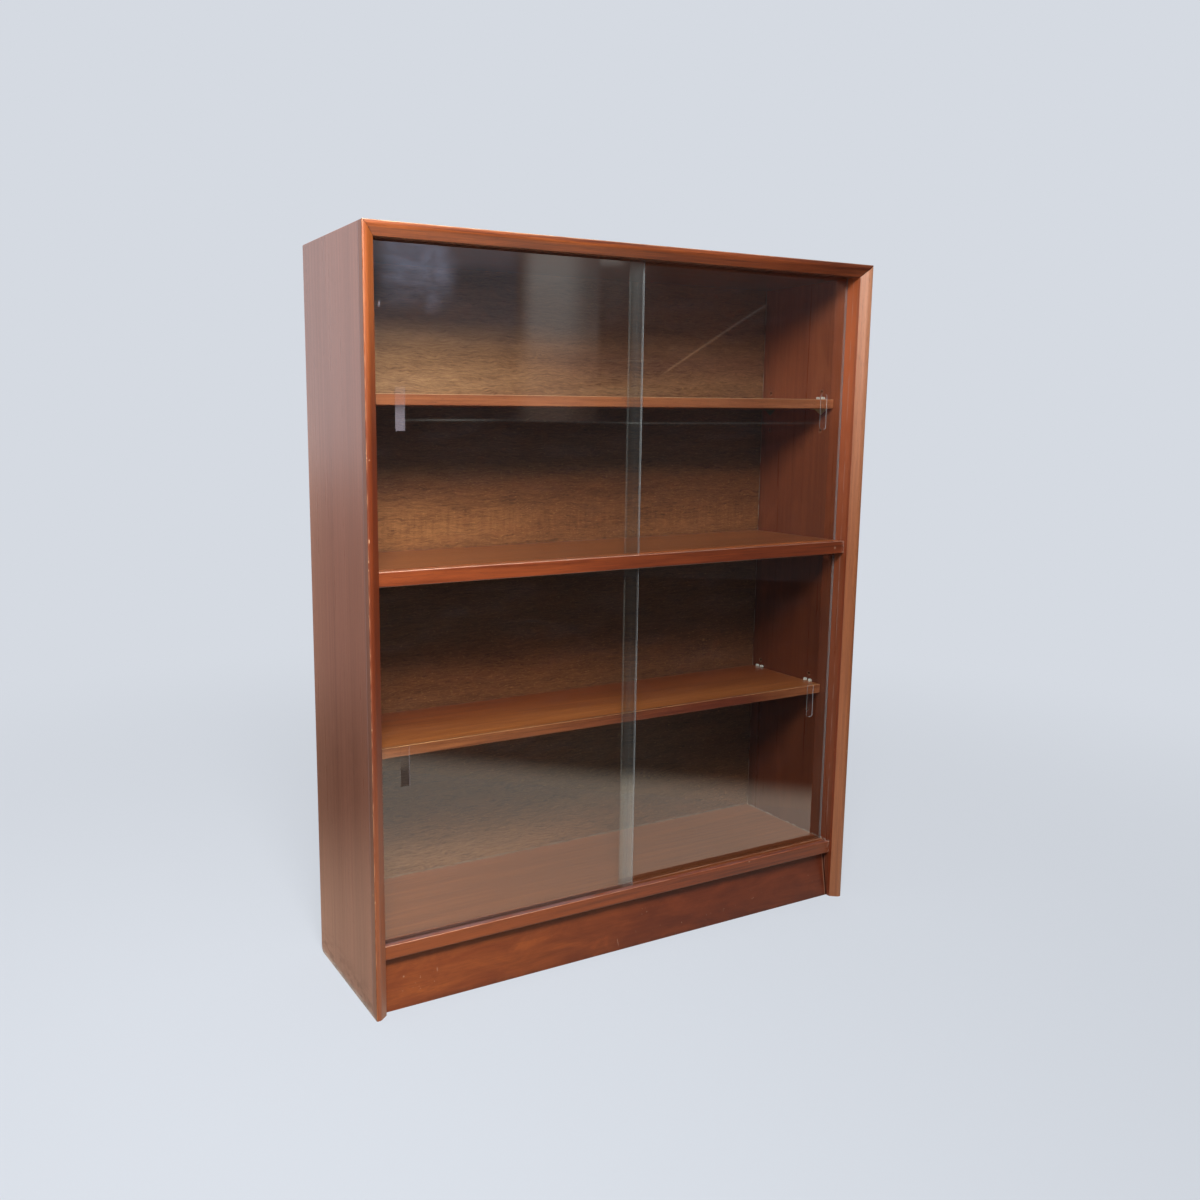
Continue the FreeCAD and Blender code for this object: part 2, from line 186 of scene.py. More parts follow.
# Before the glass, a strip of the inside is painted lighter, most at the top, as painted light.
painted_light_strip = y.ramp(-84.8, -86) * (0.14 + 0.4 * z.ramp(760, 1040)) * (0.3 + 0.7 * z.ramp(120, 260))
colour = painted_light_strip.blend(colour, paint(196, 100, 50))
# The outside is painted lighter lower down and towards the back, as painted light.
painted_low_light = y.ramp(20, 118) * z.ramp(1040, 760)
outer = grain(place, "z", painted_low_light.blend(paint(122, 72, 54), paint(146, 92, 70)),
              painted_low_light.blend(paint(168, 108, 86), paint(194, 134, 108)), paint(84, 50, 40), (500, 5), 0.8)[0]
outside = x.size().ramp(HALF_WIDTH - 1.5, HALF_WIDTH - 0.2)
colour = outside.blend(colour, outer)
# Each peg hole has a pale worn rim, and the feet are grimy. The inside is painted darker into the back
# corners, as painted shade.
up = (z - (HIGH_HOLE + LOW_HOLE) / 2).size() - (HIGH_HOLE - LOW_HOLE) / 2
up = up.size().least((up.size() - HOLE_PITCH).size())
aside = ((y - (REAR_ROW + FRONT_ROW) / 2).size() - (REAR_ROW - FRONT_ROW) / 2).size()
rim = (aside * aside + up * up).root().near(3.4, 1.2) * (1 - outside)
colour = (rim * 0.5).blend(colour, paint(170, 130, 104))
grime = z.ramp(60, 4) * speckle(place, (26, 26, 10), 3.0).ramp(0.38, 0.68)
# Painted shade in the back corners of the inside.
corner = (1 - outside) * y.ramp(96, BACK_FACE) * speckle(place, (9, 9, 60), 3.0).ramp(0.3, 0.7)
colour = (grime * 0.5).most(corner * 0.45).blend(colour, paint(46, 30, 24))
dust = y.near(BACK_FACE - 0.5, 1.6).most(y.near(-98, 1.2) * 0.4).most(z.near(BOTTOM_TOP + 1, 2.4))
dust = (1 - outside) * dust * speckle(place, (6, 6, 30), 2.0).ramp(0.36, 0.62)
colour = (dust * 0.75).blend(colour, paint(186, 172, 160))
roughness = 0.3 + 0.16 * (streak - 0.5) + 0.06 * pores + 0.2 * grime
lacquer(colour, roughness, 0.6 * fibre - pores, 0.1, 0.6 + 0.4 * outside, 0.24)
finish(material, "left_side_panel", "right_side_panel")

material, place, _ = start_finish("top_veneer")
colour, streak, fibre, pores = grain(
    place, "x", paint(98, 58, 44), paint(140, 92, 74), paint(70, 42, 34), (420, 7), 0.8)
roughness = 0.32 + 0.16 * (streak - 0.5) + 0.06 * pores
lacquer(colour, roughness, 0.6 * fibre - pores, 0.1, 0.5, 0.22)
finish(material, "top_panel")


# Front lippings of the sides and the top. Solid orange-brown hardwood, moulded to a flat, a rounded
# bend and a bevel, glued to the boards, mitred at the top corners and polished. The arrises are worn,
# and painted paler along them as a painted highlight.

LIPPING = 16
BEVEL_DEPTH = 10
# Height, way round the outer arris, half height and half width of each chip in the left post.
CHIPS = ((822, 2.4, 3.5, 1.2), (815, -0.6, 1.4, 1.1), (812, -4.2, 1.6, 1.3), (703, -1.8, 4.5, 1.3),
         (675, 0, 3.5, 1.4), (663, 0.2, 2.2, 1.2), (633, -15.5, 3.4, 1.2), (600, 2.4, 2.5, 1.2),
         (439, 0, 3, 1.3), (314, 2.8, 2.6, 1.5), (193, 7, 4.0, 1.8), (184, 0, 3.0, 1.5))


def draw_mitre(colour, x, z, round_arris):
    """Colour with the thin dark line of the mitres at the two top corners."""
    line = ((HEIGHT - z) - (HALF_WIDTH - x.size())).near(0, 1.0) * round_arris.ramp(1.0, 0)
    return (line * 0.8).blend(colour, paint(48, 20, 12))


material, place, (x, y, z) = start_finish("post_lipping")
left = x.ramp(1, -1)
# round_arris is the way round the outer arris: below 0 on the front, and above it on the outside.
round_arris = (y + HALF_DEPTH) - (HALF_WIDTH - x.size())
flat = round_arris.ramp(-7.5, -5.5)
# The posts are painted as lit and shaded copies: the left one lighter at its ends and on its flat, and
# the right one lighter and pinker towards its top and on its flat, as painted light and a painted
# highlight.
pale = z.ramp(800, 1080).most(z.ramp(430, 130) * 0.6)
lifted = flat * (0.06 + 0.4 * pale)
left_dark = lifted.blend(pale.blend(paint(86, 31, 9), paint(126, 62, 26)), paint(142, 68, 30))
left_light = lifted.blend(pale.blend(paint(128, 52, 15), paint(176, 94, 40)), paint(182, 94, 44))
high = z.ramp(590, 1070)
lifted = high * 0.9 + flat * 0.18
right_dark = lifted.blend(paint(126, 66, 34), paint(178, 108, 72))
right_light = lifted.blend(paint(178, 104, 58), paint(226, 156, 116))
colour, streak, fibre, pores = grain(
    place, "z", left.blend(right_dark, left_dark), left.blend(right_light, left_light),
    paint(86, 38, 20), (240, 5), 0.9)
# The inner face is painted lighter towards the top, as painted light.
reveal = y.ramp(BEVEL_DEPTH - HALF_DEPTH - 0.4, BEVEL_DEPTH - HALF_DEPTH + 0.4)
inner = grain(place, "z", high.blend(paint(102, 40, 16), paint(154, 76, 44)),
              high.blend(paint(142, 62, 28), paint(198, 112, 70)), paint(70, 30, 16), (300, 5), 0.8)[0]
colour = reveal.blend(colour, inner)
outside = round_arris.ramp(0.5, 2.0) * x.size().ramp(HALF_WIDTH - 2, HALF_WIDTH - 0.4)
outer = grain(place, "z", paint(110, 66, 50), paint(152, 100, 80), paint(80, 48, 38), (500, 5), 0.8)[0]
colour = outside.blend(colour, outer)
seam = outside * y.near(LIPPING - HALF_DEPTH - 0.6, 1.2)
colour = (seam * 0.5).blend(colour, paint(176, 152, 158))
colour = draw_mitre(colour, x, z, round_arris)
# The outer arris is paler where it is worn, and painted paler still as a painted highlight.
wear_and_highlight = round_arris.near(0, 1.6) * speckle(place, (3, 3, 22), 3.0).ramp(0.4, 0.66)
colour = (wear_and_highlight * 0.5).blend(colour, paint(214, 150, 108))
chips = x * 0
for height, way_round, half_height, half_width in CHIPS:
    chips = chips.most(z.near(height, half_height) * round_arris.near(way_round, half_width))
chips = (chips * left).most(z.near(278, 2.6) * round_arris.near(-2.9, 1.6) * (1 - left))
chips = (chips + 0.3 * (speckle(place, (1.5, 1.5, 2.2), 2.0) - 0.5)).ramp(0.3, 0.5)
colour = (chips * 0.85).blend(colour, paint(218, 172, 128))
roughness = 0.4 + 0.14 * (streak - 0.5) + 0.2 * chips
lacquer(colour, roughness, 0.4 * fibre - 0.5 * pores - 2 * chips, 0.08, 0.6, 0.34)
finish(material, "left_front_lipping", "right_front_lipping")

material, place, (x, y, z) = start_finish("top_lipping")
# Painted darker towards the right, away from the lamp, as painted shade.
right = x.ramp(-200, 260)
colour, streak, fibre, pores = grain(
    place, "x", right.blend(paint(96, 40, 17), paint(86, 33, 15)),
    right.blend(paint(174, 90, 40), paint(158, 76, 36)), paint(84, 38, 20), (160, 4), 1.35)
round_arris = (y + HALF_DEPTH) - (HEIGHT - z)
above = round_arris.ramp(0.5, 2.0) * z.ramp(HEIGHT - 2, HEIGHT - 0.4)
outer = grain(place, "x", paint(104, 60, 44), paint(146, 94, 74), paint(76, 44, 34), (420, 5), 0.8)[0]
colour = above.blend(colour, outer)
colour = draw_mitre(colour, x, z, round_arris)
# The top arris is worn paler, and painted paler still towards the left as a painted highlight.
wear_and_highlight = round_arris.near(0.2, 2.0) * (0.35 + 0.65 * speckle(place, (24, 3, 3), 3.0).ramp(0.36, 0.66))
wear_and_highlight = wear_and_highlight * (0.4 + 0.55 * x.ramp(0, -HALF_WIDTH))
colour = wear_and_highlight.blend(colour, paint(246, 208, 168))
roughness = 0.4 + 0.14 * (streak - 0.5)
lacquer(colour, roughness, 0.4 * fibre - 0.5 * pores, 0.08, 0.8, 0.36)
finish(material, "top_front_lipping")


# Bottom board and middle shelf. Veneered like the sides, with the grain from side to side, and lipped
# with the same hardwood as the frame. The glass has worn the bottom lipping, and dust lies in corners.

FIXED_BOARD = 21.5
FIXED_SETBACK = 17
MIDDLE_TOP = 657

material, place, (x, y, z) = start_finish("fixed_board_veneer")
# Painted lighter towards the ends, as painted light.
lit = x.ramp(-60, -400).most(x.ramp(240, 400) * 1.2)
colour, streak, fibre, pores = grain(
    place, "x", lit.blend(paint(124, 62, 34), paint(130, 65, 36)),
    lit.blend(paint(184, 106, 60), paint(196, 114, 66)), paint(78, 38, 22), (220, 6), 0.85)
# The undersides are painted darker, as painted shade.
underneath = z.near(MIDDLE_TOP - FIXED_BOARD, 0.8).most(z.near(BOTTOM_TOP - FIXED_BOARD, 0.8))
colour = (underneath * 0.5).blend(colour, paint(70, 38, 24))
corner = x.size().ramp(HALF_INSIDE - 10, HALF_INSIDE).most(y.ramp(BACK_FACE - 11, BACK_FACE))
dust = corner * speckle(place, (12, 12, 12), 3.0).ramp(0.4, 0.7)
bottom = z.ramp(200, 150)
seam = x.size().near(HALF_INSIDE - 0.6, 1.8) * bottom
colour = (dust * 0.4).most(seam * 0.75).blend(colour, paint(182, 162, 146))
# The bottom track is dirty, greyish on the left. On the right, behind a worn ridge, it is painted
# dark as painted shade.
track = bottom * y.ramp(-84.5, -86)
leftwards = x.ramp(100, -100)
dirt = leftwards.blend(paint(96, 56, 42), paint(96, 68, 64))
colour = (track * (0.45 + 0.41 * leftwards)).blend(colour, dirt)
# Painted shade behind the ridge on the right.
rear_track = bottom * y.ramp(-58, -72) * y.ramp(-87, -85.5) * x.ramp(-60, 60)
colour = (rear_track * 0.45).blend(colour, paint(62, 22, 16))
ridge = bottom * y.near(-88.2, 2.0) * x.ramp(-20, 40) * speckle(place, (40, 6, 6), 2.0).ramp(0.3, 0.6)
colour = (ridge * 0.4).blend(colour, paint(206, 158, 124))
roughness = 0.36 + 0.12 * (streak - 0.5) + 0.3 * dust
lacquer(colour, roughness, 0.6 * fibre - pores, 0.1, 0.3, 0.25)
finish(material, "bottom_board", "middle_shelf")

material, place, (x, y, z) = start_finish("fixed_board_lipping")
bottom = z.ramp(110, 104.5)
# Painted darker towards the right, away from the lamp, and lighter again at the right end, as painted
# light and shade.
right = x.ramp(-420, 420) * (1 - bottom * 0.3 * x.ramp(60, 420)) * (1 - 0.3 * x.ramp(340, 430))
colour, streak, fibre, pores = grain(
    place, "x", right.blend(paint(102, 41, 16), paint(82, 32, 15)),
    right.blend(paint(158, 75, 33), paint(138, 61, 29)), paint(76, 32, 18), (150, 4), 1.25)
# The bottom lipping is painted lighter and more orange on its left, as painted light.
colour = (bottom * (0.46 - 0.75 * right).most(0)).blend(colour, paint(160, 84, 38))
under_top = (MIDDLE_TOP - z).size().least((BOTTOM_TOP - z).size())
round_arris = (y + (HALF_DEPTH - FIXED_SETBACK)) - under_top
# The top arris is worn paler, and painted paler still towards the left as a painted highlight.
wear_and_highlight = round_arris.near(0.3, 1.1) * (0.55 + 0.45 * speckle(place, (30, 4, 4), 3.0).ramp(0.34, 0.62))
wear_and_highlight = wear_and_highlight * (0.3 + 0.65 * x.ramp(300, -380)) * (1 - 0.45 * bottom)
colour = wear_and_highlight.blend(colour, paint(250, 206, 178))
ends = x.ramp(430, HALF_INSIDE) * speckle(place, (3, 3, 3), 2.0).ramp(0.35, 0.6)
colour = (ends * 0.55).blend(colour, paint(176, 140, 122))
chip = (x.near(417, 3.0) * z.near(646, 3.0)).most(x.near(250, 2.4) * z.near(101, 2.0))
colour = (chip * 0.6).blend(colour, paint(214, 170, 140))
groove_dust = bottom * y.ramp(-105, -104) * speckle(place, (40, 4, 4), 3.0).ramp(0.3, 0.55)
groove_dust = groove_dust * (0.25 + 0.35 * x.ramp(100, -200))
colour = groove_dust.blend(colour, paint(128, 108, 112))
grime = z.near(BOTTOM_TOP - FIXED_BOARD, 2.5) * speckle(place, (18, 5, 5), 3.0).ramp(0.3, 0.6)
colour = (grime * 0.5).blend(colour, paint(52, 30, 26))
roughness = 0.36 + 0.12 * (streak - 0.5)
lacquer(colour, roughness, 0.4 * fibre - 0.5 * pores, 0.08, 0.7 - 0.7 * bottom, 0.32)
finish(material, "bottom_board_lipping", "middle_shelf_lipping")


# Plinth. One board with a mottled figure under the front of the bottom board, knocked along its foot.
# Its right end is painted dark as painted shadow, and shows a worn edge.

material, place, (x, _, z) = start_finish("plinth_board")
# Painted darker towards the right, away from the lamp, as painted shade.
right = x.ramp(-380, 200)
colour, streak, fibre, pores = grain(
    place, "x", right.blend(paint(110, 49, 21), paint(84, 31, 14)),
    right.blend(paint(166, 86, 41), paint(131, 58, 30)), paint(80, 36, 20), (90, 8), 0.55, 0.8)
mottle = speckle(place, (100, 40, 36), 4.0, 0.6, 0.8)
darker = right.blend(paint(110, 44, 20), paint(74, 26, 15))
lighter = right.blend(paint(192, 100, 42), paint(134, 60, 34))
colour = (mottle.ramp(0.42, 0.66) * 0.5).blend(colour, darker)
colour = (mottle.ramp(0.46, 0.3) * 0.35).blend(colour, lighter)
scratch = (x + 22 + 0.12 * z).near(0, 0.9) * z.near(14, 11)
scratch = scratch * speckle(place, (2, 2, 3), 2.0).ramp(0.35, 0.55)
dent = (x + 349).near(0, 1.6) * z.near(44, 5)
chip = (x + 404).near(0, 2.0) * z.near(46, 2.0)
spots = speckle(place, (5, 5, 5), 1.0).ramp(0.72, 0.78) * speckle(place, (90, 90, 50), 1.0).ramp(0.5, 0.7)
wear = scratch.most(dent * 0.7).most(chip).most(spots * 0.6).most(x.near(434.5, 1.6) * 0.7)
# Painted shadow at the right end.
colour = (x.ramp(434.8, 436.4) * 0.85).blend(colour, paint(36, 16, 12))
colour = (wear * 0.7).blend(colour, paint(190, 150, 124))
foot = z.ramp(9, 0) * speckle(place, (24, 8, 8), 3.0).ramp(0.35, 0.65)
colour = (foot * 0.5).blend(colour, paint(60, 32, 26))
roughness = 0.36 + 0.12 * (streak - 0.5) + 0.2 * wear
lacquer(colour, roughness, 0.4 * fibre - 0.5 * pores, 0.08, 0.08, 0.3, 0.34)
finish(material, "plinth_board")


# Joinery that doesn't show: glue blocks in the corners behind the plinth, dowels in the fixed boards
# and plywood tongues in the mitres, all of bare wood.

material, place, _ = start_finish("bare_wood")
colour, streak, fibre, _ = grain(
    place, "x", paint(176, 138, 96), paint(212, 180, 138), paint(140, 104, 70))
lacquer(colour, 0.7 + 0.1 * (streak - 0.5), fibre, 0.15)
finish(material, "plinth_glue_blocks", "carcass_dowels", "mitre_tongues")


# Back. Thin plywood let into the rebate, with short wavy strokes of dark and golden grain from side to
# side. Its pins are punched just under the surface.

material, place, (x, y, z) = start_finish("back_plywood")
sway = speckle(place, (46, 46, 20), 2.0)
lift = sway.add("CombineXYZ", {}, {2: (sway - 0.5) * 0.016})
wavy = place.add("VectorMath", {"operation": "ADD"}, {0: place, 1: lift})
band = speckle(place, (520, 60, 44), 3.0, 0.55, 0.5)
mottle = speckle(place, (64, 64, 24), 3.0, 0.6, 0.8)
strokes = speckle(wavy, (13, 13, 1.35), 3.0, 0.62, 0.3)
lines = speckle(wavy, (42, 42, 2.3), 2.0, 0.5, 0.2)
flecks = speckle(wavy, (6, 6, 1.3), 1.0).ramp(0.58, 0.76)
ripples = speckle(place, (5, 5, 60), 2.0, 0.5, 0.4)
# The figure is quieter near the top, and rippled above the middle shelf.
busy = 1 - 0.45 * z.ramp(950, 1010)
tone = 0.5 + (band - 0.5) * 0.8 + (mottle - 0.5) * 0.6
tone = tone + busy * ((strokes - 0.5) * 1.2 + (lines - 0.5) * 1.0)
tone = (tone + (ripples - 0.5) * 0.6 * z.near(694, 46)).least(1).most(0)
# The back is painted pale gold where the lamp's light reaches it, towards the top and the left, and
# dull brown lower down and to the right, as painted light and shade.
painted_lit = z.ramp(870, 930) * (0.4 + 0.6 * x.ramp(150, -330))
painted_lit = painted_lit.most(z.near(916, 26) * (0.6 - 0.35 * x.ramp(140, 330)))
painted_lit = painted_lit.most(z.ramp(200, 128) * x.ramp(200, -330) * 0.6)
# A painted pool of light on the left, above the middle shelf.
golden = z.near(700, 76) * x.ramp(40, -330) * 0.8
dull = z.ramp(520, 470) * x.ramp(-60, 260)
dark = painted_lit.blend(dull.blend(paint(86, 45, 27), paint(72, 40, 27)), paint(124, 82, 57))
light = painted_lit.blend(dull.blend(paint(160, 100, 60), paint(138, 88, 58)), paint(214, 164, 119))
colour = tone.blend(golden.blend(dark, paint(112, 64, 36)), golden.blend(light, paint(212, 142, 86)))
colour = (mottle.ramp(0.5, 0.72) * 0.3 * (1 - painted_lit)).blend(colour, paint(116, 58, 34))
colour = (flecks * 0.36).blend(colour, paint(210, 150, 90))
colour = (strokes.ramp(0.42, 0.28) * 0.32 * busy).blend(colour, paint(56, 28, 18))
# Under the shelves, where no light comes, it is painted darker and greyer as painted shade, and darker
# and redder at the top right below the top board, as painted shade too.
unlit = (z.ramp(752, 800) * z.ramp(896, 886)).most(z.ramp(430, 520) * z.ramp(645, 635))
unlit = unlit.most(z.ramp(330, 290) * z.ramp(120, 200) * (0.35 + 0.4 * x.ramp(-200, 100)))
colour = unlit.blend(colour, (0.64, 0.86, 0.98, 1), "MULTIPLY")
redder = z.near(966, 46) * x.ramp(-120, 120)
colour = redder.blend(colour, (0.76, 0.68, 0.77, 1), "MULTIPLY")
# Painted darker into the corners by the sides and above the middle shelf, as painted shade.
corner = x.size().ramp(HALF_INSIDE - 8, HALF_INSIDE).most(z.near(MIDDLE_TOP + 1, 8))
corner = corner * speckle(place, (10, 10, 10), 3.0).ramp(0.35, 0.7)
colour = (corner * 0.35).blend(colour, paint(60, 42, 32))
dust = z.near(BOTTOM_TOP + 1.5, 2.6) * speckle(place, (30, 8, 8), 2.0).ramp(0.3, 0.6)
colour = (dust * 0.4).blend(colour, paint(168, 152, 136))
# The outside was never stained, and is paler all over.
unstained = tone.blend(paint(142, 98, 68), paint(196, 152, 114))
unstained = (flecks * 0.3).blend(unstained, paint(110, 70, 46))
colour = y.ramp(HALF_DEPTH - 1.8, HALF_DEPTH - 0.8).blend(colour, unstained)
lacquer(colour, 0.46 + 0.14 * (strokes - 0.5), strokes, 0.1, 0.15, 0.35)
finish(material, "back_panel")


def plate(colour, metallic, roughness):
    """Metal surface, bare or under its tarnish."""
    colour.add("BsdfPrincipled", {}, {"Base Color": colour, "Metallic": metallic,
                                     "Roughness": roughness}).cover()


material, place, _ = start_finish("pin_steel")
dull = speckle(place, (1.2, 1.2, 1.2), 3.0)
plate(dull.blend(paint(120, 116, 110), paint(176, 172, 166)), 1.0, 0.35 + 0.3 * dull)
finish(material, "back_panel_pins")


# Adjustable shelves and their lippings. Veneered boards, lighter and a little pinker than the frame,
# that lie loose on their supports. Their lippings are less rubbed than those of the fixed boards.

SHELF = 16
SHELF_SETBACK = 57
UPPER_TOP, LOWER_TOP = 902, 391

material, place, (x, y, z) = start_finish("shelf_veneer")
# Painted darker towards the back, away from the lamp, as painted shade.
behind = y.ramp(-50, 90)
colour, streak, fibre, pores = grain(
    place, "x", behind.blend(paint(142, 70, 36), paint(104, 43, 21)),
    behind.blend(paint(216, 128, 68), paint(165, 82, 41)), paint(90, 46, 26), (260, 9), 0.9)
# The undersides are painted darker, as painted shade.
underneath = z.near(UPPER_TOP - SHELF, 0.8).most(z.near(LOWER_TOP - SHELF, 0.8))
colour = (underneath * 0.5).blend(colour, paint(84, 46, 30))
dust = x.size().ramp(428, 436).most(y.ramp(108, 117)) * speckle(place, (10, 10, 10), 3.0).ramp(0.4, 0.7)
colour = (dust * 0.35).blend(colour, paint(160, 142, 128))
roughness = 0.36 + 0.12 * (streak - 0.5) + 0.2 * dust
lacquer(colour, roughness, 0.6 * fibre - pores, 0.1, 0.3, 0.25)
finish(material, "upper_adjustable_shelf", "lower_adjustable_shelf")

material, place, (x, y, z) = start_finish("shelf_lipping")
# The lower lipping is painted darker towards the right, away from the lamp, and both are painted lighter
# at their right ends, as painted light and shade.
lower = z.ramp(600, 500)
far = (lower * x.ramp(-330, 200)).least(1 - 0.75 * x.ramp(240, 390))
end = x.ramp(250, 400)
dark = far.blend(lower.blend(paint(140, 71, 42), paint(140, 72, 38)), paint(104, 40, 25))
light = far.blend(lower.blend(paint(193, 115, 72), paint(200, 118, 70)), paint(154, 72, 46))
colour, streak, fibre, pores = grain(
    place, "x", (end * 0.5).blend(dark, paint(172, 92, 56)),
    (end * 0.5).blend(light, paint(226, 140, 92)), paint(92, 46, 30), (150, 4), 1.2)
under_top = (UPPER_TOP - z).size().least((LOWER_TOP - z).size())
round_arris = (y + (HALF_DEPTH - SHELF_SETBACK)) - under_top
# The top arris is worn paler, and painted paler still towards the left as a painted highlight.
wear_and_highlight = round_arris.near(0.2, 1.1) * (0.65 + 0.35 * speckle(place, (30, 4, 4), 3.0).ramp(0.34, 0.62))
wear_and_highlight = wear_and_highlight * (0.7 + 0.3 * x.ramp(-150, -400))
colour = wear_and_highlight.blend(colour, lower.blend(paint(236, 192, 148), paint(246, 184, 126)))
roughness = 0.36 + 0.12 * (streak - 0.5)
lacquer(colour, roughness, 0.4 * fibre - 0.5 * pores, 0.06, 0.6, 0.3)
finish(material, "upper_shelf_lipping", "lower_shelf_lipping")


# Shelf supports. Bent from thin plated steel strip, with a peg behind: the curled lugs above the shelf
# are still bright, and the shields below it are dull. The rear shields are painted nearly black, as
# painted shade.

material, place, (_, y, z) = start_finish("support_metal")
dull = speckle(place, (2.5, 2.5, 2.5), 3.0)
lower_lug = z.ramp(LOWER_TOP - 0.4, LOWER_TOP + 1) * z.ramp(420, 410)
lug = z.ramp(UPPER_TOP - 0.4, UPPER_TOP + 1).most(lower_lug)
tarnish_and_shade = dull.blend(paint(240, 224, 170), paint(176, 162, 116))
# The rear shields are painted nearly black, as painted shade.
tarnish_and_shade = (y.ramp(20, 60) * 0.85).blend(tarnish_and_shade, paint(62, 54, 40))
bright = dull.blend(paint(255, 254, 250), paint(246, 243, 236))
plate(lug.blend(tarnish_and_shade, bright), 0.15 * (1 - lug), 0.22 + 0.2 * dull)
for level in ("upper", "lower"):
    for side in ("left", "right"):
        for row in ("front", "rear"):
            finish(material, f"{level}_{side}_{row}_support")


# Sliding panes. Sheet glass with ground edges, and a finger pull ground into the front, painted pale
# with a haze as a painted reflection. Each carries a thin film of dust and wipe marks, most where two
# panes overlap and rub. Pale lines along some pane and pull edges are painted highlights.

HALF_OVERLAP = 9.75
PULL_MIDDLE, PULL_HALF_WIDTH, PULL_HALF_HEIGHT, PULL_DROP = 395.6, 7, 30, 0.85
# How much each pull is painted pale as a painted reflection, and how far its lower half has lost its
# shine.
PULLS = {("upper", "left"): (0.22, 0.0), ("upper", "right"): (0.01, 0.0),
         ("lower", "left"): (0.0, 0.75), ("lower", "right"): (0.01, 0.0)}

for (level, side), (painted_pull_reflection, dulled) in PULLS.items():
    name = f"{level}_{side}_glass_pane"
    low_corner, high_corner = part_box(name)
    middle_z = (low_corner.z + high_corner.z) / 2 / MM - PULL_DROP
    front = low_corner.y / MM
    hand = -1 if side == "left" else 1
    material, place, (x, y, z) = start_finish(name)
    facing = place.add("NewGeometry", output=1)
    facing = place.add("SeparateXYZ", values={0: facing}, output=1).size()
    outside = 1 - place.add("NewGeometry", output=6)
    tall = (z - middle_z).size().ramp(PULL_HALF_HEIGHT + 0.3, PULL_HALF_HEIGHT - 0.3)
    tall = tall * y.ramp(front + 1.8, front + 1.4)
    pull = (x - hand * PULL_MIDDLE).size().ramp(PULL_HALF_WIDTH + 0.3, PULL_HALF_WIDTH - 0.3) * tall
    foot = z.ramp(middle_z + 14, middle_z - 12)
    mirror = (place.add("Fresnel", {}, {"IOR": 1.6}) * 2.3).least(1.0)
    mirror = mirror * outside * (1 - dulled * pull * foot)
    clear = mirror.add("BsdfTransparent", {}, {"Color": paint(249, 251, 249)})
    gloss = mirror.add("BsdfGlossy", {}, {"Roughness": 0.02})
    pane = mirror.add("MixShader", {}, {0: mirror, 1: clear, 2: gloss})
    smear = speckle(place, (90, 90, 26), 4.0, 0.6, 1.2).ramp(0.45, 0.75)
    specks = speckle(place, (2.4, 2.4, 2.4), 1.0).ramp(0.72, 0.8)
    film = 0.001 + 0.005 * smear + 0.02 * specks * smear
    lap = x.size().ramp(HALF_OVERLAP + 0.75, HALF_OVERLAP - 0.75)
    by_height = 0.004 + 0.012 * z.ramp(740, 1060) + 0.01 * z.ramp(540, 440) + 0.038 * z.ramp(330, 180)
    lapped = lap * by_height
    # The edges of the panes where they overlap, and the right edge of the right pane, get pale lines as
    # painted highlights of the cut edges.
    meeting = x.near(-hand * HALF_OVERLAP, 2.2) * (0.22 if side == "left" else 0.1)
    edge_line = meeting * (1 - 0.6 * z.near(600, 160))
    if side == "right":
        edge_line = edge_line.most(x.near(HALF_INSIDE - 0.4, 1.8) * 0.26)
    # The pulls are painted pale with a haze, as a painted reflection.
    pull_reflection_haze = pull * (painted_pull_reflection * (0.2 + 0.8 * foot) + 0.008)
    # A pale line along the edge of each pull in the left panes, as a painted highlight.
    pull_edge = x.near(hand * (PULL_MIDDLE - PULL_HALF_WIDTH), 0.8) * tall
    pull_edge = pull_edge * (0.16 if side == "left" else 0.0)
    edge = facing.ramp(0.5, 0.2)
    ground = edge * (0.1 + 0.5 * y.ramp(front + 1.6, front + 1.2) * x.ramp(0, 1))
    if name == "upper_left_glass_pane":
        film = film.most((x - 0.1 * z + 525).near(0, 1.3) * z.near(1020, 6) * 0.26)
    dusted = film.most(lapped).most(edge_line).most(pull_reflection_haze).most(pull_edge).most(ground)
    haze = edge.most(edge_line * 6).most(lap).blend(paint(190, 178, 188), paint(190, 194, 196))
    dusty = haze.add("BsdfPrincipled", {}, {"Base Color": haze, "Roughness": 1.0,
                                           "Specular IOR Level": 0.0})
    haze.add("MixShader", {}, {0: dusted, 1: pane, 2: dusty}).cover()
    finish(material, name)


# The studio: a pale paper floor in a pale surround, lit by one soft lamp above on the left. Dark cloths
# beyond the paper show only in polish and glass. A dark curtain hangs round the front half, out of the
# camera's sight, with soft openings, a hem, a ledge and a slanting rail for the glass to mirror. The
# studio's own sizes are in metres.

SURROUND = paint(213, 218, 226)

world = bpy.data.worlds.new("pale_surround")
bpy.context.scene.world = world
world.use_nodes = True
world.node_tree.nodes.clear()
camera_ray = Flow(world.node_tree).add("LightPath")
mirrored_ray = camera_ray.add("LightPath", output=3).most(camera_ray.add("LightPath", output=6))
backwards = camera_ray.add("TexCoord", output=0)
backwards = backwards.add("SeparateXYZ", values={0: backwards}, output=1).ramp(-0.3, 0.2)
shade = backwards.blend((0.058, 0.063, 0.067, 1), (0.5, 0.5, 0.51, 1))
shade = mirrored_ray.blend(shade, paint(230, 215, 217))
shade = camera_ray.blend(shade, SURROUND)
camera_ray.add("Background", {}, {"Color": shade, "Strength": 1.0}).cover("World")


def stage_piece(name, mesh, material):
    """A piece of the studio."""
    data = bpy.data.meshes.new(name)
    mesh.to_mesh(data)
    mesh.free()
    data.materials.append(material)
    piece = bpy.data.objects.new(name, data)
    bpy.context.scene.collection.objects.link(piece)
    return piece


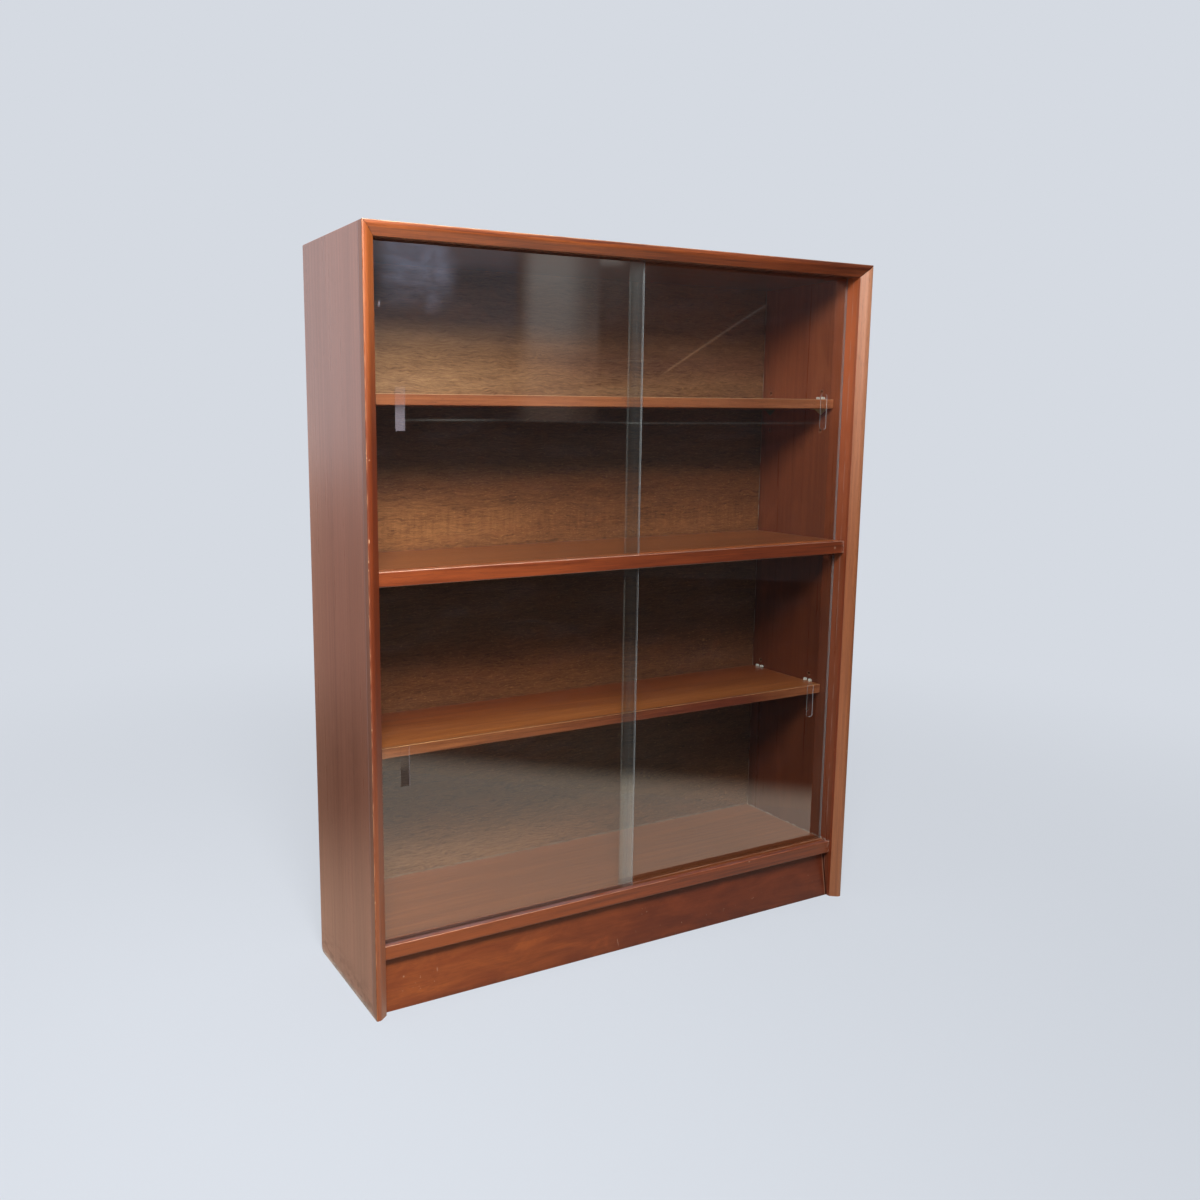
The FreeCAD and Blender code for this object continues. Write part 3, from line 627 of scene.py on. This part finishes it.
FLOOR_REACH = 20

material, place, _ = start_finish("paper_floor")
away = place.add("VectorMath", {"operation": "LENGTH"}, {0: place}, 1)
camera_ray = place.add("LightPath")
glossy_ray = place.add("LightPath", output=3)
passing_ray = place.add("LightPath", output=6)
shown = camera_ray.most(glossy_ray).most(passing_ray)
pale = camera_ray.blend(paint(240, 229, 209), SURROUND)
steady = place.add("Emission", {}, {"Color": pale, "Strength": 1.0})
# The paper takes the bookcase's shadow, faintly, where it is near.
paper = place.add("BsdfDiffuse", {}, {"Color": shown.blend((0.2, 0.2, 0.21, 1), paint(214, 218, 224))})
steadiness = shown * (1 - 0.2 * away.ramp(2.6, 0.7))
place.add("MixShader", {}, {0: steadiness, 1: paper, 2: steady}).cover()
mesh = bmesh.new()
bmesh.ops.create_grid(mesh, x_segments=1, y_segments=1, size=FLOOR_REACH)
stage_piece("floor", mesh, material)

CLOTH_HEIGHT = 0.5 * MM
CLOTHS = {"right_cloth": ((-2.86, -4.0), (4.14, 3.0), (9.366, -2.0), (2.366, -9.0)),
          "left_cloth": ((-6.0, -0.2), (-0.46, -0.2), (-0.46, 1.0), (-6.0, 1.0)),
          "back_cloth": ((-14.0, 1.0), (4.0, 1.0), (4.0, 19.9), (-14.0, 19.9))}

material, place, (x, y, _) = start_finish("dark_cloth")
ahead = (x - y).ramp(1150, 1440).blend(paint(238, 224, 204), (0.02, 0.019, 0.018, 1))
beside = y.ramp(850, 150).blend((0.1, 0.06, 0.04, 1), (0.55, 0.36, 0.26, 1))
beside = y.ramp(1000, 2400).blend(beside, (0.36, 0.21, 0.17, 1))
beside = y.ramp(5000, 19000).blend(beside, (0.58, 0.4, 0.36, 1))
shade = x.ramp(0, -400).most(y.ramp(950, 1000)).blend(ahead, beside)
place.add("Emission", {}, {"Color": shade, "Strength": 1.0}).cover()
for name, corners in CLOTHS.items():
    mesh = bmesh.new()
    mesh.faces.new([mesh.verts.new((across, back, CLOTH_HEIGHT)) for across, back in corners])
    piece = stage_piece(name, mesh, material)
    piece.visible_camera = piece.visible_diffuse = piece.visible_shadow = False

CURTAIN_RADIUS = 4.5

material, place, (x, y, z) = start_finish("dark_curtain")
# Bearings are in degrees from straight ahead of the bookcase, towards its right. The openings are dim and
# blue on the left, with a pale cloud, then warm and bright in two gaps, and faint on the far right.
bearing = x.math("ARCTAN2", x, 0 - y) * (180 / math.pi)
left_low = z.ramp(1170, 1400) * bearing.ramp(26.0, 25.4)
left_top = z.ramp(1580, 1750) * bearing.ramp(26.4, 24.8)
slant = (z - 1690).most(0) * 0.01
cloud = bearing.ramp(15.6, 17.0) * (bearing + slant).ramp(21.8, 20.3) * z.ramp(1400, 1690)
cloud = cloud.most(bearing.near(19.8, 1.1) * z.ramp(1400, 1470) * 0.5)
cloud = cloud * (0.5 + 0.6 * speckle(place, (210, 210, 90), 4.0, 0.6, 1.4).ramp(0.34, 0.64))
near_gap = bearing.ramp(25.3, 27.2) * (1 - 0.62 * bearing.ramp(28.8, 31.2)) * bearing.ramp(31.7, 31.3)
near_gap = near_gap * (0.25 + 0.55 * z.ramp(1060, 1420) + 0.2 * z.ramp(1420, 1640)) * z.ramp(862, 880)
far_gap = bearing.ramp(31.4, 31.6) * bearing.ramp(37.0, 32.6) * z.ramp(1200, 1700)
far_gap = far_gap * (0.34 + 0.66 * bearing.ramp(33.6, 32.6) * z.ramp(1640, 1680))
right_wall = bearing.ramp(32, 38) * z.ramp(1150, 1600) * (0.8 + 0.4 * bearing.ramp(44, 49))
hem = (z + 17 * bearing.ramp(24, 36)).near(877, 6) * bearing.ramp(16, 17.5)
hem = hem * (0.13 + 0.68 * bearing.near(21, 4.8) + 0.2 * bearing.near(34.2, 2.2)
             + 0.09 * bearing.ramp(33, 35) * bearing.ramp(46, 37))
ledge = z.near(1190, 6) * bearing.ramp(31, 32) * bearing.ramp(36.6, 35.4)
rail = (z - 1130 - (x - 2585) * 1.003).near(0, 11) * x.ramp(2556, 2600) * x.ramp(2924, 2905)
rail = rail * 0.62 * (1 - 0.76 * x.ramp(2600, 2840))
glow = left_low.blend((0, 0, 0, 1), (0.07, 0.17, 0.22, 1))
glow = left_top.blend(glow, (0.32, 0.4, 0.48, 1))
glow = cloud.blend(glow, (0.84, 1.02, 1.38, 1))
glow = near_gap.blend(glow, z.ramp(1120, 1400).blend((1.15, 0.8, 0.62, 1), (0.88, 0.9, 0.86, 1)))
glow = (far_gap * 0.75).blend(glow, (0.84, 0.88, 0.84, 1))
glow = (right_wall * 0.14).blend(glow, (0.42, 0.42, 0.42, 1))
glow = hem.blend(glow, (1.15, 1.2, 1.1, 1))
glow = (ledge * 0.35).blend(glow, (0.95, 0.78, 0.5, 1))
glow = rail.blend(glow, x.ramp(2700, 2880).blend((1.6, 0.95, 0.5, 1), (1.6, 1.5, 1.4, 1)))
glow = place.add("VectorMath", {"operation": "ADD"}, {0: glow, 1: (0.047, 0.049, 0.05)})
place.add("Emission", {}, {"Color": glow, "Strength": 1.0}).cover()
mesh = bmesh.new()
bmesh.ops.create_uvsphere(mesh, u_segments=96, v_segments=48, radius=CURTAIN_RADIUS)
middles = {face: face.calc_center_median() for face in mesh.faces}
unused = [face for face, middle in middles.items() if middle.y > -0.1 or middle.z < 0]
bmesh.ops.delete(mesh, geom=unused, context="FACES")
stage_piece("curtain", mesh, material).visible_camera = False

lamp_data = bpy.data.lights.new("key", "AREA")
lamp_data.shape = "DISK"
lamp_data.size = 0.7
lamp_data.spread = math.radians(135)
lamp_data.energy = 37
lamp = bpy.data.objects.new("key", lamp_data)
lamp.location = (-0.85, -1.35, 1.87)
aim = Vector((-0.9, 0, 0.85))
lamp.rotation_mode = "QUATERNION"
lamp.rotation_quaternion = (aim - lamp.location).to_track_quat("-Z", "Y")
bpy.context.scene.collection.objects.link(lamp)

camera_data = bpy.data.cameras.new("camera")
camera_data.sensor_width = 36
camera_data.lens = 32.63
camera_data.shift_x = 0.0841
camera_data.shift_y = -0.0012
camera = bpy.data.objects.new("camera", camera_data)
camera.location = (-0.9863, -1.5010, 0.8613)
camera.rotation_euler = (math.radians(80.83), 0, math.radians(-27.92))
bpy.context.scene.collection.objects.link(camera)
bpy.context.scene.camera = camera
bpy.context.scene.view_settings.view_transform = "Standard"
